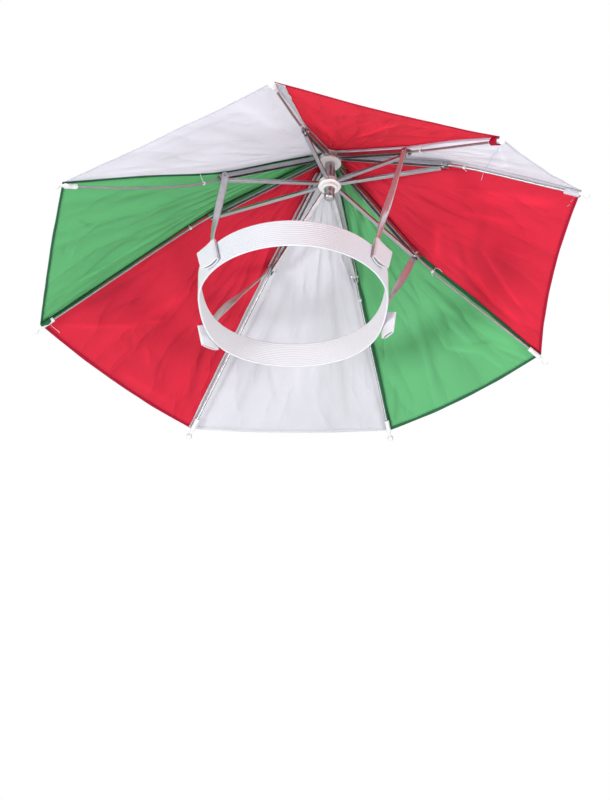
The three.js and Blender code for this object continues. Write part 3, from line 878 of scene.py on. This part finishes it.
def add_hem(panel):
    """The rolled hem along the rim: doubled cloth, a flat oval in section."""
    def place(share, around):
        angle = 2 * pi * around
        swell = 1 + 0.2 * noise.noise(Vector((share * 9, 0, panel.width * 40)))
        inward = HEM_HALF_WIDTH * (0.75 - swell * cos(angle))
        lift = HEM_HALF_DEPTH * sin(angle)
        point = panel.on(1 - max(inward, 0) / panel.length, share, lift)
        if inward < 0:
            outward = panel.on(1, share, 0) - panel.on(1 - 1 / PANEL_ALONG, share, 0)
            point += outward.normalized() * -inward
        return point

    size = (4 * HEM_HALF_WIDTH, panel.width)
    shape = draped_grid(place, HEM_STATIONS, 12, size, closed=True)
    return add_piece(
        f"hem_{panel.node}", shape, doubled_shaded_materials[panel.colour],
    )


SeamStrip = namedtuple("SeamStrip", "rib onto cloth width_in width_out")

# The turned-in cloth that shows beside each seam, on the panel after its rib (1) or before it (-1),
# and how wide it is near the crown and at the rim, in millimetres
SEAM_STRIPS = [
    SeamStrip(0, 1, "white", 1.5, 9),
    SeamStrip(1, 1, "pink", 2, 3),
    SeamStrip(2, 1, "white", 2, 4.5),
    SeamStrip(3, 1, "green", 3, 2.4),
    SeamStrip(4, -1, "green", 3, 3),
    SeamStrip(5, 1, "white", 2.5, 3),
    SeamStrip(6, -1, "green", 1.5, 2.4),
    SeamStrip(7, -1, "green", 1.5, 1.5),
]
STRIP_START = 0.05
STRIP_WIDENS_AT = 0.45
STRIP_STATIONS = 90


def add_seam_strip(row):
    panel = panels[beside(row)]

    def place(share, across):
        along = STRIP_START + (1 - STRIP_START) * share
        swell = 1 + 0.25 * noise.noise(Vector((share * 14, row.rib * 5, 0)))
        grown = max(0.0, (along - STRIP_WIDENS_AT) / (1 - STRIP_WIDENS_AT)) ** 1.5
        width = (row.width_in + (row.width_out - row.width_in) * grown) * MM * swell
        width = min(width, 0.3 * panel.width_at(along))
        inset = across * width / panel.width_at(along)
        lift = -(0.3 + 0.35 * across) * MM
        return panel.on(along, inset if row.onto > 0 else 1 - inset, lift)

    shape = draped_grid(place, STRIP_STATIONS, 4, (4 * MM, panel.length))
    return thicken(add_piece(
        f"seam_strip_{row.rib + 1}", shape, doubled_shaded_materials[row.cloth],
    ), FOLDED_CLOTH)


STITCH_LENGTH = 2.2 * MM
STITCH_GAP = 1.1 * MM
STITCH_FROM_RIM = 2.6 * MM


def add_hem_stitches(panel):
    along = 1 - STITCH_FROM_RIM / panel.length
    count = int(panel.width / (STITCH_LENGTH + STITCH_GAP))
    spans = []
    for step in range(1, count):
        start = step / count
        end = start + STITCH_LENGTH / panel.width
        spans.append(panel.path([(along, start), (along, end)], -0.5 * MM))
    return add_piece(
        f"hem_stitches_{panel.node}", stitch_line(spans, 0.16 * MM),
        thread_materials[panel.colour], smooth=False,
    )


# Places of the hand stitches that hold the gathered corner at tip 3
CORNER_STITCHES = [
    (0.973, 0.1), (0.976, 0.085), (0.979, 0.07), (0.982, 0.057), (0.985, 0.045), (0.988, 0.035),
]


def add_corner_stitches(panel):
    spans = []
    for index, (along, across) in enumerate(CORNER_STITCHES):
        turn = 1 if index % 2 else -1
        ends = [(along, across), (along + 0.005, across + 0.007 * turn)]
        spans.append(panel.path(ends, -0.6 * MM))
    return add_piece(
        f"corner_stitches_{panel.node}", stitch_line(spans, 0.17 * MM), thread_materials["grey"],
        smooth=False,
    )


def add_canopy():
    strips = {}
    for row in SEAM_STRIPS:
        strips.setdefault(beside(row), []).append(add_seam_strip(row))
    for index, panel in enumerate(panels):
        cloth = add_panel(panel)
        trim = [add_hem(panel), add_hem_stitches(panel), *strips.get(index, [])]
        if panel.node == "panel_3_red":
            trim.append(add_corner_stitches(panel))
        following = (index + 1) % len(panels) + 1


# ---- steel frame ----

def dressed_channel(node, name):
    """A packed steel channel's own shape with softened edges."""
    shape = bmesh.new()
    shape.from_mesh(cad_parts[node].data)
    bmesh.ops.remove_doubles(shape, verts=shape.verts, dist=0.001 * MM)
    bmesh.ops.dissolve_limit(
        shape, angle_limit=radians(1), verts=shape.verts, edges=shape.edges,
        use_dissolve_boundaries=False,
    )
    piece = add_piece(name, shape, rib_material, (node,))
    mark_sharp(piece, 35)
    bevel = piece.modifiers.new("edges", "BEVEL")
    bevel.width = 0.15 * MM
    bevel.segments = 2
    bevel.limit_method = "ANGLE"
    bevel.angle_limit = radians(35)


def add_steel():
    eye_radius = PIN_DIAMETER / 2 + WIRE_DIAMETER / 2 + 0.1 * MM
    for number, rib in enumerate(ribs, 1):
        dressed_channel(f"inner_rib_{number}", f"channel_{number}")
        dressed_channel(f"stretcher_{number}", f"strut_{number}")
        wire = tube(rib.wire, WIRE_DIAMETER / 2, 14, rib.inner_normal)
        eye = ring(rib.joint, rib.side, eye_radius, WIRE_DIAMETER / 2)
        add_piece(
            f"wire_{number}", join_shapes([wire, eye]), wire_material,
            (f"outer_wire_{number}",),
        )


# A tip in millimetres, pairs of radius and height from the wire's end: the sleeve with a groove for
# the cloth's stitches, and the stem. A ball follows them.
TIP_PROFILE = [
    (0.0, 0.3), (1.2, 0.3), (1.2, -9.3), (1.35, -9.6), (1.7, -9.7), (1.85, -9.5), (1.9, -9.1),
    (1.9, -6.2), (1.75, -6.0), (1.75, -5.7), (1.9, -5.5), (1.9, 0.2), (1.75, 0.9), (1.4, 1.5),
    (1.1, 1.9), (1.0, 2.4), (1.0, 4.4), (1.15, 4.75),
]
BALL_RADIUS = 2.5
BALL_CENTRE = 7.09
BALL_FOOT = 1.3
BALL_STEPS = 12


def add_tips():
    first = asin(BALL_FOOT / BALL_RADIUS)
    ball = []
    for step in range(BALL_STEPS):
        angle = first + (pi - first) * step / BALL_STEPS
        height = BALL_CENTRE - BALL_RADIUS * cos(angle)
        ball.append((BALL_RADIUS * sin(angle), height))
    ball.append((0.0, BALL_CENTRE + BALL_RADIUS))
    profile = [(radius * MM, height * MM) for radius, height in TIP_PROFILE + ball]
    for number, rib in enumerate(ribs, 1):
        shape = turned(profile, rib.tip, rib.tip_direction, 28)
        piece = add_piece(
            f"sleeve_{number}", shape, tip_material, (f"tip_{number}",),
        )
        mark_sharp(piece, 50)


# ---- headband, tabs and legs ----

band_turn = Matrix.Rotation(radians(-BAND_LEAN), 4, "X")
band_up = band_turn.to_3x3() @ UP


def band_place(around):
    """A point of the ring's inner face and the outward direction there, both in the hat's frame."""
    wide, long = BAND_WIDTH / 2, BAND_LENGTH / 2
    side, depth = cos(around), sin(around)
    back = max(depth, 0)
    fullness = 1 + BACK_FULLNESS * back ** 2
    growth = 2 * BACK_FULLNESS * back * side
    across = wide * (growth * side - fullness * depth)
    point = Vector((wide * fullness * side, long * depth, -NAPE_DROP * back ** 2))
    outward = Vector((long * side, -across, 0)).normalized()
    return band_turn @ point, band_turn.to_3x3() @ outward


BAND_RIBS = 13
BAND_RIB_STEPS = 4
BAND_GROOVE = 0.3 * MM
BAND_STATIONS = 200


def band_section():
    """Pairs of outward and upward distances round the elastic's section, ribbed on both faces."""
    half = BAND_HEIGHT / 2
    steps = BAND_RIBS * BAND_RIB_STEPS
    face = []
    for step in range(steps + 1):
        share = step / steps
        groove = BAND_GROOVE * (0.5 + 0.5 * cos(2 * pi * BAND_RIBS * share))
        face.append((groove, -half + 2 * half * share))
    outer = [(BAND_THICKNESS - groove, up) for groove, up in face]
    middle = BAND_THICKNESS / 2
    return [*outer, (middle, half), *reversed(face), (middle, -half), outer[0]]


def add_headband():
    section = band_section()

    def place(around, across):
        point, outward = band_place(2 * pi * around)
        out, up = section[round(across * (len(section) - 1))]
        return point + outward * out + band_up * up

    inner = [band_place(2 * pi * step / BAND_STATIONS)[0] for step in range(BAND_STATIONS + 1)]
    round_it = sum((b - a).length for a, b in zip(inner, inner[1:]))
    girth = 2 * (BAND_HEIGHT + BAND_THICKNESS)
    shape = draped_grid(place, BAND_STATIONS, len(section) - 1, (girth, round_it), closed=True)
    piece = add_piece("elastic_headband", shape, elastic_material, ("headband",))


def tab_frame(row):
    """A tab's middle on the band's outer face, and its directions out, up and across."""
    point, outward = band_place(radians(row.around))
    middle = point + outward * (BAND_THICKNESS + CLEARANCE) + band_up * row.raised * BAND_HEIGHT
    upright = Matrix.Rotation(row.hand * radians(TAB_TILT), 3, outward) @ band_up
    return middle, outward, upright, upright.cross(outward)


# A tab's loop of tape seen from its top, in millimetres from its sewn edge and from the headband:
# flat against the elastic, round the free edge, and back over the leg to the sewn edge
TAB_LOOP = [
    Vector(place) for place in (
        (0.5, 0.5), (5, 0.5), (9, 0.6), (13, 1.6), (16.5, 3.6), (18.6, 5.2), (18.9, 6.1),
        (17.8, 6.5), (14.5, 5.6), (10.5, 4.4), (6.5, 3.5), (2.8, 3.0), (1.0, 2.4), (0.3, 1.4),
    )
]
TAB_TAPE = 0.8 * MM
TAB_TAPER = 4.5 * MM
TAB_STITCHES = 8


def add_tab(row):
    """A loop of tape for the leg's end, sewn along one edge and standing free at the other."""
    middle, outward, upright, across = tab_frame(row)
    half = TAB_HEIGHT / 2 - 0.2 * MM

    def on_loop(share, height, lift=0.0):
        across_it, out = spline(TAB_LOOP, share) * MM
        free = across_it / TAB_WIDTH
        low = -half + TAB_TAPER * free ** 2
        up = low + (half - low) * height
        out = out * (1 + 0.12 * free * up / half) + lift
        beyond = across * row.hand * (TAB_WIDTH / 2 - across_it)
        return middle + beyond + upright * up + outward * out

    shape = draped_grid(on_loop, 72, 24, (TAB_HEIGHT, 2 * TAB_WIDTH))
    piece = thicken(add_piece(
        f"tape_{row.name}", shape, tape_material, (f"tab_{row.name}",),
    ), TAB_TAPE)

    lift = TAB_TAPE / 2 + 0.05 * MM
    spans = [
        [on_loop(share, (step + end) / TAB_STITCHES, lift) for end in (0.15, 0.8)]
        for step in range(TAB_STITCHES) for share in (0.93, 0.9)
    ]
    stitches = add_piece(
        f"tape_stitches_{row.name}", stitch_line(spans, 0.2 * MM), thread_materials["white"],
        smooth=False,
    )


LEG_SEATED = 12 * MM  # how far a leg's foot goes into its tab
LEG_TOP_HANDLE = 0.14  # how far a leg runs on straight at either end, as a share of its span
LEG_FOOT_HANDLE = 0.13
LEG_TURNS_AT = 0.3  # the share of a leg at which its face starts to turn to the headband
LEG_EDGE_FALL = 0.9 * MM  # how deep the channel is
LEG_STEEL = 0.6 * MM
LEG_ROUNDING_STEPS = 8


def add_leg(row):
    """A shallow steel channel from a joint's pin down into its tab, turning as it goes."""
    rib = ribs[row.rib]
    middle, outward, upright, across = tab_frame(row)
    side = rib.side if rib.side.dot(middle - rib.joint) > 0 else -rib.side
    half = LEG_WIDTH / 2
    depth = LEG_THICKNESS / 2 + CLEARANCE + TAB_WALL
    shift = row.hand * (TAB_WIDTH / 2 - TAB_WALL - CLEARANCE - half)
    mouth = middle + outward * depth + upright * TAB_HEIGHT / 2 + across * shift
    top = rib.joint + side * (RIB_WIDTH / 2 + CLEARANCE + LEG_THICKNESS / 2)
    span = (mouth - top).length
    fall = mouth - top - UP * span
    fall = (fall - side * fall.dot(side)).normalized()
    stations = []
    for step in range(1, LEG_ROUNDING_STEPS):
        angle = radians(step * 90 / LEG_ROUNDING_STEPS)
        stations.append((top - fall * half * cos(angle), half * sin(angle)))
    leaving = top + fall * LEG_TOP_HANDLE * span
    arriving = mouth + upright * LEG_FOOT_HANDLE * span
    stations += [(point, half) for point in interpolate_bezier(top, leaving, arriving, mouth, 41)]
    stations.append((mouth - upright * LEG_SEATED, half))
    facing = side if side.y * outward.y > 0 else -side
    last = len(stations) - 1

    def place(share, around):
        index = round(share * last)
        point, width = stations[index]
        ahead, behind = stations[min(index + 1, last)][0], stations[max(index - 1, 0)][0]
        along = (ahead - behind).normalized()
        face = facing.lerp(outward, eased((share - LEG_TURNS_AT) / (1 - LEG_TURNS_AT)))
        face = (face - along * face.dot(along)).normalized()
        edge = 2 * around - 1
        return point + face.cross(along) * edge * width - face * LEG_EDGE_FALL * edge ** 6

    shape = draped_grid(place, last, 14, (LEG_WIDTH, span))
    thicken(add_piece(
        f"strip_{row.name}", shape, leg_material, (f"leg_{row.name}",),
    ), LEG_STEEL)


# ---- threads and folded corners ----

TIE_STATION = 10  # of the wire's own stations
TIE_TURNS = 4
TIE_PITCH = 0.45 * MM
TIE_THREAD = 0.22 * MM


def add_ties():
    """A few turns of thread that hold each seam to its wire, with a short tail."""
    for index, (rib, panel) in enumerate(zip(ribs, panels)):
        point = rib.wire[TIE_STATION]
        along = (rib.wire[TIE_STATION + 1] - rib.wire[TIE_STATION - 1]).normalized()
        shapes = []
        for turn in range(TIE_TURNS):
            centre = point + along * (turn - (TIE_TURNS - 1) / 2) * TIE_PITCH
            shapes.append(ring(centre, along, WIRE_DIAMETER / 2 + 0.25 * MM, TIE_THREAD, 18, 6))
        seam = panel.path([(step / 200, 0) for step in range(60, 180)], -0.3 * MM)
        nearest = min(seam, key=lambda place: (place - point).length)
        to_seam = [point.lerp(nearest, step / 6) for step in range(7)]
        shapes.append(tube(to_seam, 0.25 * MM, 6, along))
        tail = [
            point,
            point + rib.side * 1.3 * MM - canopy_up * 1.2 * MM,
            point + rib.side * 1.6 * MM - canopy_up * 2.4 * MM + along * 1.2 * MM,
        ]
        shapes.append(tube(smooth_curve(tail, 8), 0.18 * MM, 6, along))
        add_piece(f"tie_{index + 1}", join_shapes(shapes), thread_materials["white"])


CornerWrap = namedtuple("CornerWrap", "rib onto cloth back ahead reach turn")

# The panels' corners that fold down over a tip's sleeve: how far back and ahead of the wire's end
# they cover it in millimetres, and how far round it they reach and are turned
CORNER_WRAPS = [
    CornerWrap(1, -1, "red", 8, 2, 250, -40),
    CornerWrap(2, -1, "white", 11, 1.5, 250, 0),
    CornerWrap(6, 1, "green", 7, 1.5, 120, -90),
]
WRAP_RADIUS = 2.3
WRAP_FLARE = 0.5
WRAP_JOINS = 0.35  # the share of the fold that runs from the seam's edge onto the sleeve


def add_corner_wrap(row):
    rib = ribs[row.rib]
    along = rib.tip_direction
    up = along.cross(rib.outer_side)
    side = -rib.outer_side * row.onto
    panel = panels[beside(row)]
    seam = 0.01 if row.onto > 0 else 0.99

    def place(share, around):
        angle = radians(row.reach * (around - 0.5) + row.turn) + 0.25 * sin(5 * share)
        radius = (WRAP_RADIUS + WRAP_FLARE * share * abs(2 * around - 1)) * MM
        back = (-row.back + (row.back + row.ahead) * share) * MM
        out = (side * sin(angle) - up * cos(angle)) * radius
        edge = panel.on(min(1, 1 + back / panel.length), seam, -0.4 * MM)
        return edge.lerp(rib.tip + along * back + out, eased(around / WRAP_JOINS))

    shape = draped_grid(place, 12, 24, (12 * MM, 10 * MM))
    thicken(add_piece(
        f"corner_wrap_{row.rib + 1}", shape, doubled_shaded_materials[row.cloth],
    ), FOLDED_CLOTH)


def add_loose_threads():
    """Ends of sewing thread that lie on the cloth's inner side."""
    ends = {
        "front": panels[1].path([
            (0.965, 0.08), (0.891, 0.205), (0.818, 0.335), (0.741, 0.535), (0.689, 0.7),
            (0.64, 0.92),
        ], -1.2 * MM) + panels[2].path([(0.62, 0.02), (0.62, 0.05), (0.619, 0.095)], -1.4 * MM),
        "tip": panels[5].path([
            (0.97, 0.99), (0.981, 0.965), (0.982, 0.95), (0.981, 0.925), (0.983, 0.905),
        ], -1.0 * MM),
        "tie": panels[2].path([
            (0.522, 0.992), (0.529, 0.984), (0.54, 0.981), (0.549, 0.986),
        ], -1.5 * MM),
    }
    for name, points in ends.items():
        material = thread_materials["pale_blue" if name == "front" else "white"]
        thread = tube(smooth_curve(points, 30), 0.17 * MM, 6)
        add_piece(f"loose_thread_{name}", thread, material)


# ---- hub, shaft, runner and cap ----

def add_on_axis(name, profile, level, material, node):
    """A round solid on the canopy's axis, from radii and heights over a level, in millimetres."""
    points = [(radius * MM, (level + height) * MM) for radius, height in profile]
    shape = turned(points, HUB_PLACE, canopy_up, 48)
    mark_sharp(add_piece(name, shape, material, (node,)), 40)


# The solids' own levels along the axis, in millimetres over the hub's place
HINGE_LEVEL = -9.3 * tan(radians(INNER_DROOP))
HUB_TOP = HINGE_LEVEL + 3
RUNNER_TOP = HINGE_LEVEL - 22.5


def add_axis():
    add_on_axis("hub_body", [
        (0, -6), (4.5, -6), (4.5, -5.4), (8.6, -5.4), (9, -5), (9, -3.6),
        (8.2, -3.2), (8.2, -2.4), (9, -2), (9, -0.4), (8.6, 0), (0, 0),
    ], HUB_TOP, hub_material, "hub")
    add_on_axis("shaft_tube", [
        (0, -36), (3.2, -36), (3.7, -35.6), (4, -35), (4, -31),
        (3.8, -30.7), (3.8, -30.3), (4, -30), (4, 0), (0, 0),
    ], HUB_TOP - 6.3, rib_material, "shaft")
    add_on_axis("runner_body", [
        (4.3, -7), (6.2, -7), (6.6, -6.6), (6.6, -4.4), (8.6, -4.2),
        (9, -3.8), (9, -2.8), (8.2, -2.4), (8.2, -1.8), (9, -1.4),
        (9, -0.4), (8.6, 0), (4.6, 0), (4.3, -0.3), (4.3, -7),
    ], RUNNER_TOP, hub_material, "runner")
    cap = [(to_canopy @ v.co).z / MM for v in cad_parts["top_cap"].data.vertices]
    high = max(cap)
    foot = min(cap) - high
    add_on_axis("cap_body", [
        (0, foot), (3, foot), (3, -4), (10.6, -4), (11, -3.6), (11, -3),
        (10.4, -2.4), (8.6, -1.4), (6.2, -0.6), (3.2, -0.1), (0, 0),
    ], high, hub_material, "top_cap")


set_camera()
set_studio()
add_floor()
add_canopy()
add_steel()
add_tips()
add_headband()
for tab in TABS:
    add_tab(tab)
    add_leg(tab)
add_ties()
for wrap in CORNER_WRAPS:
    add_corner_wrap(wrap)
add_loose_threads()
add_axis()
